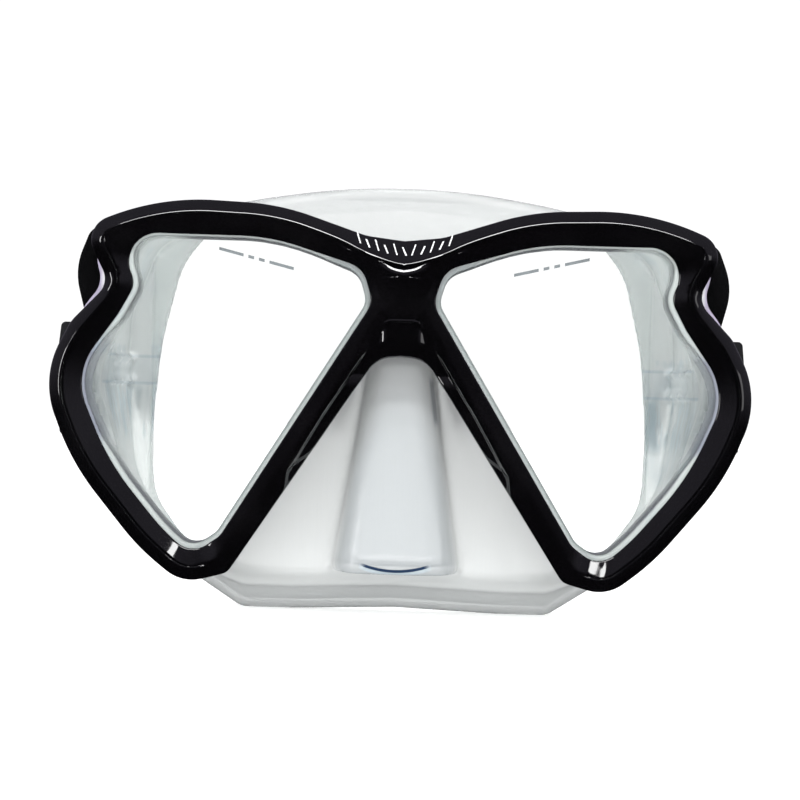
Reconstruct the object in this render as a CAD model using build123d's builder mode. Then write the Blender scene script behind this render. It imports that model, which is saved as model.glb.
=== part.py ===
"""Twin-lens diving mask, modelled at real size in millimetres.

The mask looks along -Y, +X is to the right of someone who faces the mask, and +Z is up.
The origin is the bottom centre of the mask's box: the skirt's lower corners stand at Z = 0.
Outlines are drawn in the frame's own drawing plane, whose centre lies centre_height above the origin.
"""

import os

from build123d import *

os.makedirs("parts", exist_ok=True)

# ---------------------------------------------------------------- driving dimensions
mask_depth = 80.0
centre_height = 54.0
front_y = -mask_depth / 2

front_frame_depth = 11.0
rear_frame_depth = 7.0
lip_depth = 4.0
lens_thickness = 4.0
lens_overlap = 2.5
lens_clearance = 0.2
lens_edge_chamfer = 0.4

flange_thickness = 3.0
flange_overlap = 3.4
flange_inset = 1.6
tube_overlap = 1.0
skirt_wall = 2.4
skirt_gap = 0.5
seal_lip_thickness = 2.6

trim_recess_depth = 3.0
trim_thickness = 2.3
trim_clearance = 0.1

screw_radius = 1.0
screw_hole_radius = 1.15
screw_head_radius = 1.6
screw_head_height = 1.2
screw_length = 10.5
screw_head_fillet = 0.5

buckle_inner_x = 79.0
buckle_thickness = 7.0
buckle_half_height = 11.5
buckle_front_y = -9.0
buckle_rear_y = 14.0
buckle_corner_radius = 3.0
buckle_edge_chamfer = 0.8
strap_slot_half_width = 9.0
strap_slot_front_y = -5.0
strap_slot_rear_y = 11.0
pivot_y = -15.0
pivot_pin_radius = 1.5
pivot_clearance = 0.06
hub_radius = 4.5
hub_root_depth = 1.0
bracket_base_thickness = 2.0
bracket_cheek_thickness = 1.6
bracket_cheek_radius = 4.5
bracket_corner_radius = 1.2
cheek_gap = 0.3
pivot_cap_radius = 3.0
pivot_cap_height = 0.9
pivot_cap_fillet = 0.4
roller_y = 7.5
roller_radius = 2.4
roller_edge_chamfer = 0.3
axle_radius = 0.8
pawl_pivot_y = -3.3
pawl_pin_radius = 0.6
pawl_barrel_radius = 1.3
pawl_length = 3.8
pawl_thickness = 1.4
pawl_arm_offset = 0.3
pawl_half_length = 8.6
pawl_x = 84.3
roller_half_length = 8.8
cross_pin_half_length = 11.0
button_travel = 1.5
button_stem_radius = 1.0
button_stem_y = -2.6
button_stem_reach = 0.3
button_cap_thickness = 1.5
button_cap_gap = 0.3
button_stem_x = 81.2
button_cap_x = 81.5
button_cap_width = 3.4
button_cap_length = 7.2
button_cap_corner_radius = 1.2
button_cap_chamfer = 0.4
spring_thickness = 0.3
spring_reach = 2.8
spring_half_length = 3.5
spring_x = 82.3
running_clearance = 0.06

# ---------------------------------------------------------------- levels along the depth, front to back
lip_back_y = front_y + lip_depth
lens_back_y = lip_back_y + lens_thickness
front_frame_back_y = front_y + front_frame_depth
rear_frame_back_y = front_frame_back_y + rear_frame_depth
skirt_body_y = rear_frame_back_y + skirt_gap
skirt_cavity_y = skirt_body_y + skirt_wall
bracket_back_y = rear_frame_back_y + bracket_base_thickness
screw_seat_y = rear_frame_back_y - screw_head_height
buckle_middle_x = buckle_inner_x + buckle_thickness / 2

# ---------------------------------------------------------------- outlines: (across, up, corner radius)
# Half outlines start and end on the middle line and are mirrored.
frame_half_outline = [
    (0, 39, 0), (9.5, 40, 15.5), (31, 47, 59.5), (60, 48, 60.5), (79, 40, 6), (72, 26.5, 5), (81, 17, 9),
    (88, 3, 22), (80, -17.5, 60), (63, -38, 59), (52, -46.5, 10), (41, -43.5, 3.5), (12, 1, 3), (6, 10, 7),
    (0, 10.5, 0),
]
# The rear frame bulges out behind the waist of the front frame.
rear_frame_half_outline = [
    (0, 38, 0), (9.5, 39, 15), (31, 46.2, 58), (60, 47.2, 58), (77.6, 39.8, 4), (81.3, 30, 16),
    (78, 17.5, 1), (81, 15.5, 2), (87, 3, 21), (79.3, -17.3, 58), (62.4, -37.4, 57), (52, -45.5, 9),
    (41.4, -42.6, 3), (13.2, 1, 3), (6.8, 11, 7), (0, 11.5, 0),
]
lens_opening_outline = [
    (71, 39, 7), (65.5, 26.5, 5), (69.5, 19, 4.5), (80, 4, 15), (71, -17, 65), (57.5, -33, 53),
    (50, -39.5, 6), (43, -34.5, 6), (7.5, 23.5, 5.5), (10, 32, 6.5), (33, 39, 52),
]
# The recess over the nose arch, which the trim piece fills.
trim_half_outline = [(0, 20.5, 0), (6, 18.5, 5), (20, -2, 60), (33, -31, 1), (33, -45, 1), (0, -45, 0)]
frame_screw_places = [(0, 27), (40, 44.8), (-40, 44.8), (57.8, -39.1), (-57.8, -39.1)]
bracket_screw_places = [(82, 10.5), (81, -8.4)]
bracket_base_outline = [(79, -11), (82.8, -11), (86, -4), (86, 5), (84.8, 17), (79, 17)]

# Skirt: the body grows from the back of the frame to the face seal.
skirt_front_half_outline = [
    (0, 35, 0), (10, 35, 20), (30, 42, 20), (71, 41, 8), (69, 22, 8), (80.4, 4, 14), (71.5, -17.5, 30),
    (52, -41.5, 8), (38, -47, 5), (26, -47, 30), (0, -46, 0),
]
skirt_middle_half_outline = [
    (0, 54, 0), (10, 54, 40), (30, 50, 30), (69, 42, 12), (74, 22, 20), (77.5, 4, 30), (71, -19, 30),
    (52, -42, 12), (38, -54, 5), (26, -54, 60), (0, -53, 0),
]
skirt_rear_half_outline = [
    (0, 54, 0), (10, 54, 40), (30, 50, 30), (67, 40, 14), (74, 22, 20), (75, 4, 30), (70, -19, 30),
    (52, -42, 12), (38, -54, 5), (26, -54, 60), (0, -53, 0),
]
face_opening_half_outline = [
    (0, 47.5, 0), (26, 46, 30), (57, 40.5, 12), (66.5, 12, 40), (66.5, -22, 20), (53, -40, 14),
    (30, -45, 20), (0, -44, 0),
]
skirt_middle_y = 5.0
face_half_width = 76.0
face_half_depth = 66.0
face_front_y = 6.0
# How far the shapes that cut the skirt run past it.
cut_margin = 1.0

nose_top = 9.0
nose_bottom = -43.0
nose_top_half_width = 7.5
nose_bottom_half_width = 17.0
nose_top_front_y = -27.0
nose_bottom_front_y = -37.5
nose_back_y = skirt_cavity_y
nose_wall = 2.0
nose_corner_radius = 3.6
nose_bottom_radius = 3.4


def facing_plane(y):
    """Return the drawing plane at depth y: local x across, local y up, normal towards the front."""
    return Plane(origin=(0, y, centre_height), x_dir=(1, 0, 0), z_dir=(0, -1, 0))


def symmetric_face(y, outline, margin=0.0):
    """Return a mirrored half outline with rounded corners, filled and grown by margin, at depth y."""
    points = [(across, up) for across, up, radius in outline]
    with BuildSketch(facing_plane(y)) as drawing:
        with BuildLine():
            FilletPolyline(*points, radius=[radius for across, up, radius in outline[1:-1]])
            mirror(about=Plane.YZ)
        make_face()
        if margin:
            offset(amount=margin)
    return drawing.sketch


def eye_faces(y, margin=0.0):
    """Return both lens outlines, filled and grown by margin, at depth y."""
    points = [(across, up) for across, up, radius in lens_opening_outline]
    radii = [radius for across, up, radius in lens_opening_outline]
    with BuildSketch(facing_plane(y)) as drawing:
        with BuildLine():
            FilletPolyline(*points, radius=radii, close=True)
        make_face()
        if margin:
            offset(amount=margin)
        mirror(about=Plane.YZ)
    return drawing.sketch


def save(part, label):
    """Label a finished piece and write it as a STEP file of that name."""
    part.label = label
    export_step(part, f"parts/{label}.step")


# ---------------------------------------------------------------- front frame and nose trim
trim_region = symmetric_face(front_y + trim_recess_depth, trim_half_outline)

with BuildPart() as front_frame:
    extrude(symmetric_face(front_frame_back_y, frame_half_outline), amount=front_frame_depth)
    extrude(eye_faces(front_frame_back_y), amount=front_frame_depth, mode=Mode.SUBTRACT)
    lens_seat = eye_faces(front_frame_back_y, lens_overlap + lens_clearance)
    extrude(lens_seat, amount=front_frame_back_y - lip_back_y, mode=Mode.SUBTRACT)
    flange_seat = eye_faces(front_frame_back_y, flange_overlap + lens_clearance)
    extrude(flange_seat, amount=front_frame_back_y - lens_back_y, mode=Mode.SUBTRACT)
    extrude(trim_region, amount=trim_recess_depth, mode=Mode.SUBTRACT)
    with BuildSketch(facing_plane(front_frame_back_y)):
        with Locations(*frame_screw_places):
            Circle(screw_radius)
    extrude(amount=front_frame_back_y - screw_seat_y + screw_length, mode=Mode.SUBTRACT)
save(front_frame.part, "front_frame")

with BuildPart() as nose_trim:
    trim_shape = symmetric_face(front_y + trim_recess_depth, trim_half_outline, -trim_clearance)
    extrude(trim_shape, amount=trim_thickness)
    frame_shape = symmetric_face(front_frame_back_y, frame_half_outline)
    extrude(frame_shape, amount=front_frame_depth, mode=Mode.INTERSECT)
save(nose_trim.part, "nose_trim")

# ---------------------------------------------------------------- lenses
for side_name, side_index in (("left", 0), ("right", -1)):
    lens_face = eye_faces(lens_back_y, lens_overlap).faces().sort_by(Axis.X)[side_index]
    with BuildPart() as lens:
        extrude(lens_face, amount=lens_thickness)
        chamfer(lens.faces().sort_by(Axis.Y)[0].edges(), lens_edge_chamfer)
    save(lens.part, f"lens_{side_name}")

# ---------------------------------------------------------------- rear frame and its screws
with BuildPart() as rear_frame:
    extrude(symmetric_face(rear_frame_back_y, rear_frame_half_outline), amount=rear_frame_depth)
    tube_way = eye_faces(rear_frame_back_y, tube_overlap + lens_clearance)
    extrude(tube_way, amount=rear_frame_depth, mode=Mode.SUBTRACT)
    with BuildSketch(facing_plane(rear_frame_back_y)):
        with Locations(*frame_screw_places):
            Circle(screw_hole_radius)
        for side in (1, -1):
            with Locations(*[(side * across, up) for across, up in bracket_screw_places]):
                Circle(screw_radius)
    extrude(amount=rear_frame_depth, mode=Mode.SUBTRACT)
    with BuildSketch(facing_plane(rear_frame_back_y)):
        with Locations(*frame_screw_places):
            Circle(screw_head_radius + lens_clearance)
    extrude(amount=screw_head_height, mode=Mode.SUBTRACT)
save(rear_frame.part, "rear_frame")

with BuildPart() as frame_screws:
    with BuildSketch(facing_plane(screw_seat_y)):
        with Locations(*frame_screw_places):
            Circle(screw_radius)
    extrude(amount=screw_length)
    with BuildSketch(facing_plane(screw_seat_y)):
        with Locations(*frame_screw_places):
            Circle(screw_head_radius)
    extrude(amount=-screw_head_height)
    fillet(frame_screws.faces().group_by(Axis.Y)[-1].edges(), screw_head_fillet)
save(frame_screws.part, "frame_screws")

# ---------------------------------------------------------------- skirt
with BuildPart() as face:
    with BuildSketch(Plane.XY.offset(-cut_margin)):
        with Locations((0, face_front_y + face_half_depth)):
            Ellipse(face_half_width, face_half_depth)
    extrude(amount=2 * (centre_height + cut_margin))

with BuildPart() as face_with_lip:
    with BuildSketch(Plane.XY.offset(-cut_margin)):
        with Locations((0, face_front_y + face_half_depth)):
            Ellipse(face_half_width + seal_lip_thickness, face_half_depth + seal_lip_thickness)
    extrude(amount=2 * (centre_height + cut_margin))

with BuildPart() as air_space:
    cavity_front = symmetric_face(skirt_cavity_y, skirt_front_half_outline, -skirt_wall)
    cavity_middle = symmetric_face(skirt_middle_y, skirt_middle_half_outline, -skirt_wall)
    cavity_rear_y = mask_depth / 2 - seal_lip_thickness
    cavity_rear = symmetric_face(cavity_rear_y, skirt_rear_half_outline, -skirt_wall)
    loft([cavity_front.face(), cavity_middle.face(), cavity_rear.face()], ruled=True)
    add(face_with_lip.part, mode=Mode.SUBTRACT)

with BuildPart() as nose_outside:
    for level, half_width, front in (
        (nose_bottom, nose_bottom_half_width, nose_bottom_front_y),
        (nose_top, nose_top_half_width, nose_top_front_y),
    ):
        with BuildSketch(Plane.XY.offset(centre_height + level)):
            with Locations((0, (front + nose_back_y) / 2)):
                RectangleRounded(2 * half_width, nose_back_y - front, nose_corner_radius)
    loft()
    fillet(nose_outside.faces().sort_by(Axis.Z)[0].edges(), nose_bottom_radius)

nose_inside_back_y = nose_back_y + nose_wall
with BuildPart() as nose_inside:
    for level, half_width, front in (
        (nose_bottom + nose_wall, nose_bottom_half_width - nose_wall, nose_bottom_front_y + nose_wall),
        (nose_top - nose_wall, nose_top_half_width - nose_wall, nose_top_front_y + nose_wall),
    ):
        with BuildSketch(Plane.XY.offset(centre_height + level)):
            with Locations((0, (front + nose_inside_back_y) / 2)):
                nose_inside_depth = nose_inside_back_y - front
                RectangleRounded(2 * half_width, nose_inside_depth, nose_corner_radius - nose_wall)
    loft()
    fillet(nose_inside.faces().sort_by(Axis.Z)[0].edges(), nose_bottom_radius - nose_wall)

with BuildPart() as skirt:
    body_front = symmetric_face(skirt_body_y, skirt_front_half_outline)
    body_middle = symmetric_face(skirt_middle_y, skirt_middle_half_outline)
    body_rear = symmetric_face(mask_depth / 2, skirt_rear_half_outline)
    loft([body_front.face(), body_middle.face(), body_rear.face()], ruled=True)
    add(face.part, mode=Mode.SUBTRACT)
    extrude(eye_faces(skirt_cavity_y, tube_overlap), amount=skirt_cavity_y - lens_back_y)
    extrude(eye_faces(front_frame_back_y, flange_overlap), amount=flange_thickness)
    add(nose_outside.part)
    add(air_space.part, mode=Mode.SUBTRACT)
    extrude(eye_faces(skirt_cavity_y, -flange_inset), amount=mask_depth / 2, mode=Mode.SUBTRACT)
    add(nose_inside.part, mode=Mode.SUBTRACT)
    face_opening = symmetric_face(mask_depth / 2, face_opening_half_outline)
    face_opening_depth = mask_depth / 2 - face_front_y + seal_lip_thickness + cut_margin
    extrude(face_opening, amount=face_opening_depth, mode=Mode.SUBTRACT)
save(skirt.part, "skirt")


# ---------------------------------------------------------------- strap buckles
def build_buckle(side, side_name):
    """Make the pieces of one strap buckle; side is 1 on the +X side of the mask and -1 on the other."""
    outer_x = buckle_inner_x + buckle_thickness
    hub_inner_x = buckle_inner_x + bracket_cheek_thickness + cheek_gap
    hub_width = buckle_thickness - 2 * (bracket_cheek_thickness + cheek_gap)
    hub_root_y = buckle_front_y + hub_root_depth

    with BuildPart() as bracket:
        with BuildSketch(facing_plane(bracket_back_y)):
            with BuildLine():
                corners = [(side * across, up) for across, up in bracket_base_outline]
                FilletPolyline(*corners, radius=bracket_corner_radius, close=True)
            make_face()
            with Locations(*[(side * across, up) for across, up in bracket_screw_places]):
                Circle(screw_hole_radius, mode=Mode.SUBTRACT)
        extrude(amount=bracket_base_thickness)
        for cheek_x in (buckle_inner_x, outer_x - bracket_cheek_thickness):
            with BuildSketch(Plane.YZ.offset(side * cheek_x)):
                with Locations(((bracket_back_y + pivot_y) / 2, centre_height)):
                    Rectangle(pivot_y - bracket_back_y, 2 * bracket_cheek_radius)
                with Locations((pivot_y, centre_height)):
                    Circle(bracket_cheek_radius)
                    Circle(pivot_pin_radius, mode=Mode.SUBTRACT)
            extrude(amount=side * bracket_cheek_thickness)
    save(bracket.part, f"buckle_bracket_{side_name}")

    with BuildPart() as bracket_screws:
        for radius, length in (
            (screw_radius, screw_length - rear_frame_depth),
            (screw_head_radius, -screw_head_height),
        ):
            with BuildSketch(facing_plane(bracket_back_y)):
                with Locations(*[(side * across, up) for across, up in bracket_screw_places]):
                    Circle(radius)
            extrude(amount=length)
        fillet(bracket_screws.faces().group_by(Axis.Y)[-1].edges(), screw_head_fillet)
    save(bracket_screws.part, f"bracket_screws_{side_name}")

    with BuildPart() as pivot_pin:
        with BuildSketch(Plane.YZ.offset(side * buckle_inner_x)):
            with Locations((pivot_y, centre_height)):
                Circle(pivot_pin_radius)
        extrude(amount=side * buckle_thickness)
    save(pivot_pin.part, f"pivot_pin_{side_name}")

    with BuildPart() as pivot_cap:
        with BuildSketch(Plane.YZ.offset(side * outer_x)):
            with Locations((pivot_y, centre_height)):
                Circle(pivot_cap_radius)
        extrude(amount=side * pivot_cap_height)
        fillet(pivot_cap.faces().sort_by(Axis.X)[0 if side < 0 else -1].edges(), pivot_cap_fillet)
    save(pivot_cap.part, f"pivot_cap_{side_name}")

    with BuildPart() as buckle_body:
        with BuildSketch(Plane.YZ.offset(side * buckle_inner_x)):
            with Locations(((buckle_front_y + buckle_rear_y) / 2, centre_height)):
                buckle_length = buckle_rear_y - buckle_front_y
                RectangleRounded(buckle_length, 2 * buckle_half_height, buckle_corner_radius)
        extrude(amount=side * buckle_thickness)
        chamfer(buckle_body.faces().filter_by(Axis.X).edges(), buckle_edge_chamfer)
        with BuildSketch(Plane.YZ.offset(side * buckle_inner_x)):
            with Locations(((strap_slot_front_y + strap_slot_rear_y) / 2, centre_height)):
                Rectangle(strap_slot_rear_y - strap_slot_front_y, 2 * strap_slot_half_width)
        extrude(amount=side * buckle_thickness, mode=Mode.SUBTRACT)
        with BuildSketch(Plane.YZ.offset(side * hub_inner_x)):
            with Locations(((pivot_y + hub_root_y) / 2, centre_height)):
                Rectangle(hub_root_y - pivot_y, 2 * hub_radius)
            with Locations((pivot_y, centre_height)):
                Circle(hub_radius)
        extrude(amount=side * hub_width)
        with BuildSketch(Plane.YZ.offset(side * hub_inner_x)):
            with Locations((pivot_y, centre_height)):
                Circle(pivot_pin_radius + pivot_clearance)
        extrude(amount=side * hub_width, mode=Mode.SUBTRACT)
        with BuildSketch(Plane.XY.offset(centre_height - buckle_half_height)):
            with Locations((side * buckle_middle_x, roller_y)):
                Circle(axle_radius)
            with Locations((side * pawl_x, pawl_pivot_y)):
                Circle(pawl_pin_radius)
            with Locations((side * button_stem_x, button_stem_y)):
                Circle(button_stem_radius + running_clearance)
        extrude(amount=2 * buckle_half_height, mode=Mode.SUBTRACT)
    save(buckle_body.part, f"buckle_body_{side_name}")

    for pin_name, pin_x, pin_y, pin_radius in (
        ("roller_axle", buckle_middle_x, roller_y, axle_radius),
        ("pawl_pin", pawl_x, pawl_pivot_y, pawl_pin_radius),
    ):
        with BuildPart() as cross_pin:
            with BuildSketch(Plane.XY.offset(centre_height - cross_pin_half_length)):
                with Locations((side * pin_x, pin_y)):
                    Circle(pin_radius)
            extrude(amount=2 * cross_pin_half_length)
        save(cross_pin.part, f"{pin_name}_{side_name}")

    with BuildPart() as strap_roller:
        with BuildSketch(Plane.XY.offset(centre_height - roller_half_length)):
            with Locations((side * buckle_middle_x, roller_y)):
                Circle(roller_radius)
                Circle(axle_radius + running_clearance, mode=Mode.SUBTRACT)
        extrude(amount=2 * roller_half_length)
        rims = strap_roller.edges().filter_by(GeomType.CIRCLE).filter_by(
            lambda edge: edge.radius > pivot_pin_radius)
        chamfer(rims, roller_edge_chamfer)
    save(strap_roller.part, f"strap_roller_{side_name}")

    with BuildPart() as pawl:
        with BuildSketch(Plane.XY.offset(centre_height - pawl_half_length)):
            with Locations((side * pawl_x, pawl_pivot_y)):
                Circle(pawl_barrel_radius)
            with Locations((side * (pawl_x + pawl_arm_offset), pawl_pivot_y + pawl_length / 2)):
                Rectangle(pawl_thickness, pawl_length)
            with Locations((side * pawl_x, pawl_pivot_y)):
                Circle(pawl_pin_radius + running_clearance, mode=Mode.SUBTRACT)
        extrude(amount=2 * pawl_half_length)
    save(pawl.part, f"pawl_{side_name}")

    with BuildPart() as pawl_spring:
        with BuildSketch(Plane.XY.offset(centre_height - spring_half_length)):
            with Locations((side * spring_x, strap_slot_front_y + spring_reach / 2)):
                Rectangle(spring_thickness, spring_reach)
        extrude(amount=2 * spring_half_length)
    save(pawl_spring.part, f"pawl_spring_{side_name}")

    for end, end_name in ((1, "upper"), (-1, "lower")):
        cap_level = buckle_half_height + button_travel + button_cap_gap
        stem_level = strap_slot_half_width - button_stem_reach
        with BuildPart() as button:
            with BuildSketch(Plane.XY.offset(centre_height + end * cap_level)):
                with Locations((side * button_cap_x, button_stem_y)):
                    RectangleRounded(button_cap_width, button_cap_length, button_cap_corner_radius)
            extrude(amount=end * button_cap_thickness)
            outer_face = button.faces().sort_by(Axis.Z)[-1 if end > 0 else 0]
            chamfer(outer_face.edges(), button_cap_chamfer)
            with BuildSketch(Plane.XY.offset(centre_height + end * stem_level)):
                with Locations((side * button_stem_x, button_stem_y)):
                    Circle(button_stem_radius)
            extrude(amount=end * (cap_level - stem_level))
        save(button.part, f"{end_name}_button_{side_name}")


build_buckle(1, "right")
build_buckle(-1, "left")
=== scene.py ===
"""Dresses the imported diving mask: frame, lenses, silicone skirt, prints and strap buckles.

Lengths inside the builders are in millimetres, measured from the drawing centre of the frame: x across, z up,
and y along the depth from the front (-y) to the face (+y). Meshes are handed to Blender in metres.
"""

import logging
import math
from collections.abc import Callable
from dataclasses import dataclass, field
from enum import Enum

import bmesh
import bpy
import numpy as np
from mathutils import Matrix, Vector


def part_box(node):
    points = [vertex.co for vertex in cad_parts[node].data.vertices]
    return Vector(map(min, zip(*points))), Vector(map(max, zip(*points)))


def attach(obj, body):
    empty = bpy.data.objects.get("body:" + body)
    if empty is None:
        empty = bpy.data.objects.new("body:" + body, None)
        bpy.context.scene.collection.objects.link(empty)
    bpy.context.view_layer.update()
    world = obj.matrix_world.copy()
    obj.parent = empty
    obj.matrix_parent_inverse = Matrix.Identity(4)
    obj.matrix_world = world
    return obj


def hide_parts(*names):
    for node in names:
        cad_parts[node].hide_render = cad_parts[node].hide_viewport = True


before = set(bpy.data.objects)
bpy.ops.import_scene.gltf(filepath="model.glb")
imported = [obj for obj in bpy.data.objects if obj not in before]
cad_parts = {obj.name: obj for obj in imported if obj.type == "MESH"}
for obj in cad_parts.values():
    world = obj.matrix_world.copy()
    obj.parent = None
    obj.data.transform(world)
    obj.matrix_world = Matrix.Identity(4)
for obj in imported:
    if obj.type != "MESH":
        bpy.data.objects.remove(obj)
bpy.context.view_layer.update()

MM = 0.001
LOG = logging.getLogger("diving_mask")

FRONT_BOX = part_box("front_frame")
REAR_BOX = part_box("rear_frame")
FRAME_FRONT_Y = FRONT_BOX[0][1] / MM
SKIRT_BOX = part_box("skirt")
# The frame's highest point lies this far above the centre that the outlines are drawn from.
FRAME_TOP = 47.58
CENTRE_HEIGHT = FRONT_BOX[1][2] / MM - FRAME_TOP


class Body(Enum):
    """The rigid bodies that pieces ride on."""

    FRAME = "frame"


class Slot(Enum):
    """The record's material slots."""

    FRAME_GLOSS = "frame_gloss"
    LENS_GLASS = "lens_glass"
    SILICONE = "silicone"


# ------------------------------------------------------------------ outlines: (across, up, corner radius)
FRAME_BROW = [(0, 39, 0), (9.5, 40, 15.5), (31, 47, 59.5), (60, 48, 60.5), (79, 40, 6)]
FRAME_SIDE = [(72, 26.5, 5), (81, 17, 9), (88, 3, 22), (80, -17.5, 60), (63, -38, 59)]
FRAME_VEE = [(52, -46.5, 10), (41, -43.5, 3.5), (12, 1, 3), (6, 10, 7), (0, 10.5, 0)]
LENS_OPENING = [
    (71, 39, 7), (65.5, 26.5, 5), (69.5, 19, 4.5), (80, 4, 15), (71, -17, 65), (57.5, -33, 53),
    (50, -39.5, 6), (43, -34.5, 6), (7.5, 23.5, 5.5), (10, 32, 6.5), (33, 39, 52),
]
TRIM_TOP = [(0, 19.7, 0), (4.2, 19.7, 3.2), (11.4, 8.4, 12), (19.6, -4.6, 60), (27.5, -18.5, 0)]
SKIRT_FRONT = [
    (0, 35, 0), (10, 35, 20), (30, 42, 20), (71, 41, 8), (69, 22, 8), (80.4, 4, 14), (71.5, -17.5, 30),
    (52, -41.5, 8), (38, -47, 5), (26, -47, 30), (0, -46, 0),
]
SKIRT_MIDDLE = [
    (0, 54.1, 0), (14, 54.1, 165), (40, 50, 140), (69, 42, 12), (74, 22, 20), (77.5, 4, 30), (72, -24, 28),
    (60, -40.5, 16), (39, -54, 5), (26, -54, 60), (0, -53, 0),
]
SKIRT_REAR = [
    (0, 54, 0), (14, 54, 165), (40, 50, 140), (67, 40, 14), (74, 22, 20), (75, 4, 30), (71.5, -23, 28),
    (59.5, -40, 16), (39, -54, 5), (26, -54, 60), (0, -53, 0),
]
FACE_OPENING = [
    (0, 48.5, 0), (26, 46.5, 30), (49, 44.5, 12), (58, 34, 20), (63.2, 14, 60), (65.2, -6, 80),
    (64.4, -26.5, 15), (56, -37, 15), (46, -42.5, 10), (30, -45, 20), (0, -44, 0),
]


def rounded_path(corners: list, closed: bool, step: float = 0.6) -> np.ndarray:
    """Turn corners with radii into a dense path of straight runs and arcs.

    Args:
        corners: (across, up, radius) of each corner; the ends of an open path stay sharp.
        closed: whether the path joins its own start.
        step: largest distance between neighbouring points.

    Returns:
        The path's points, one row each; a closed path doesn't repeat its first point.
    """
    spots = np.array([(across, up) for across, up, _ in corners], float)
    radii = [radius for _, _, radius in corners]
    count = len(spots)
    rough: list = []
    for index in range(count):
        if radii[index] == 0 or (not closed and index in (0, count - 1)):
            rough.append(spots[index])
            continue
        before = spots[index - 1] - spots[index]
        after = spots[(index + 1) % count] - spots[index]
        before /= np.linalg.norm(before)
        after /= np.linalg.norm(after)
        half = math.acos(float(np.clip(before @ after, -1, 1))) / 2
        reach = radii[index] / math.tan(half)
        middle = before + after
        middle /= np.linalg.norm(middle)
        centre = spots[index] + middle * radii[index] / math.sin(half)
        first = spots[index] + before * reach - centre
        last = spots[index] + after * reach - centre
        start = math.atan2(first[1], first[0])
        turn = (math.atan2(last[1], last[0]) - start + math.pi) % (2 * math.pi) - math.pi
        pieces = max(2, int(abs(turn) * radii[index] / step))
        for part in range(pieces + 1):
            angle = start + turn * part / pieces
            rough.append(centre + radii[index] * np.array([math.cos(angle), math.sin(angle)]))
    rough_path = np.array(rough)
    ends = np.roll(rough_path, -1, axis=0) if closed else rough_path[1:]
    dense: list = []
    for here, there in zip(rough_path, ends):
        pieces = max(1, int(np.linalg.norm(there - here) / step))
        dense.extend(here + (there - here) * part / pieces for part in range(pieces))
    if not closed:
        dense.append(rough_path[-1])
    return np.array(dense)


def mirrored_ring(half: list, step: float = 0.6) -> np.ndarray:
    """Return the closed path of a half outline and its mirror image."""
    right = rounded_path(half, False, step)
    left = right[-2:0:-1] * np.array([-1.0, 1.0])
    return np.vstack([right, left])


def path_distance(spots: np.ndarray, path: np.ndarray, closed: bool = False) -> np.ndarray:
    """Return each spot's distance to a path.

    Args:
        spots: points, one row each.
        path: the path's points in order.
        closed: whether the path joins its own start.

    Returns:
        The distances, one for each spot.
    """
    starts = path if closed else path[:-1]
    runs = (np.roll(path, -1, axis=0) if closed else path[1:]) - starts
    squares = np.maximum((runs ** 2).sum(axis=1), 1e-12)
    best = np.full(len(spots), np.inf)
    for start, run, square in zip(starts, runs, squares):
        offset = spots - start
        along = np.clip(offset @ run / square, 0, 1)
        gap = offset - along[:, None] * run
        best = np.minimum(best, (gap ** 2).sum(axis=1))
    return np.sqrt(best)


def ring_field(spots: np.ndarray, ring: np.ndarray) -> np.ndarray:
    """Return the signed distance of each spot to a closed ring, negative inside."""
    distance = path_distance(spots, ring, closed=True)
    inside = np.zeros(len(spots), bool)
    ahead = np.roll(ring, -1, axis=0)
    for (x_0, z_0), (x_1, z_1) in zip(ring, ahead):
        if z_0 == z_1:
            continue
        crosses = (spots[:, 1] >= min(z_0, z_1)) & (spots[:, 1] < max(z_0, z_1))
        inside ^= crosses & (spots[:, 0] < x_0 + (spots[:, 1] - z_0) * (x_1 - x_0) / (z_1 - z_0))
    return np.where(inside, -distance, distance)


def smooth_step(value: np.ndarray, low: float, high: float) -> np.ndarray:
    """Rise smoothly from 0 at low to 1 at high."""
    part = np.clip((value - low) / (high - low), 0, 1)
    return part * part * (3 - 2 * part)


def smooth_union(first: np.ndarray, second: np.ndarray, radius: float) -> np.ndarray:
    """Join two distance fields with a fillet."""
    part = np.clip(0.5 + 0.5 * (second - first) / radius, 0, 1)
    return second * (1 - part) + first * part - radius * part * (1 - part)


def smooth_meet(first: np.ndarray, second: np.ndarray, radius: float) -> np.ndarray:
    """Intersect two distance fields with a rounded edge."""
    return -smooth_union(-first, -second, radius)


# ------------------------------------------------------------------ shader building
class Wire:
    """A shader socket that can be used in Python expressions."""

    def __init__(self, book: "NodeBook", socket: bpy.types.NodeSocket) -> None:
        """Wrap an output socket of a node in the given book."""
        self.book = book
        self.socket = socket

    def _math(self, operation: str, *values: object) -> "Wire":
        """Add one Math node and return its result."""
        return self.book.node("ShaderNodeMath", {"operation": operation}, dict(enumerate(values)))

    def __add__(self, other: object) -> "Wire":
        """Add a value or another wire."""
        return self._math("ADD", self, other)

    __radd__ = __add__

    def __sub__(self, other: object) -> "Wire":
        """Subtract a value or another wire."""
        return self._math("SUBTRACT", self, other)

    def __rsub__(self, other: object) -> "Wire":
        """Subtract this wire from a value."""
        return self._math("SUBTRACT", other, self)

    def __mul__(self, other: object) -> "Wire":
        """Multiply by a value or another wire."""
        return self._math("MULTIPLY", self, other)

    __rmul__ = __mul__

    def __pow__(self, other: object) -> "Wire":
        """Raise to a power."""
        return self._math("POWER", self, other)

    def absolute(self) -> "Wire":
        """Return the value without its sign."""
        return self._math("ABSOLUTE", self)

    def ramp(self, low: float, high: float) -> "Wire":
        """Rise smoothly from 0 at low to 1 at high."""
        return self.book.node("ShaderNodeMapRange", {"interpolation_type": "SMOOTHSTEP"},
                              {"Value": self, "From Min": low, "From Max": high})


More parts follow.
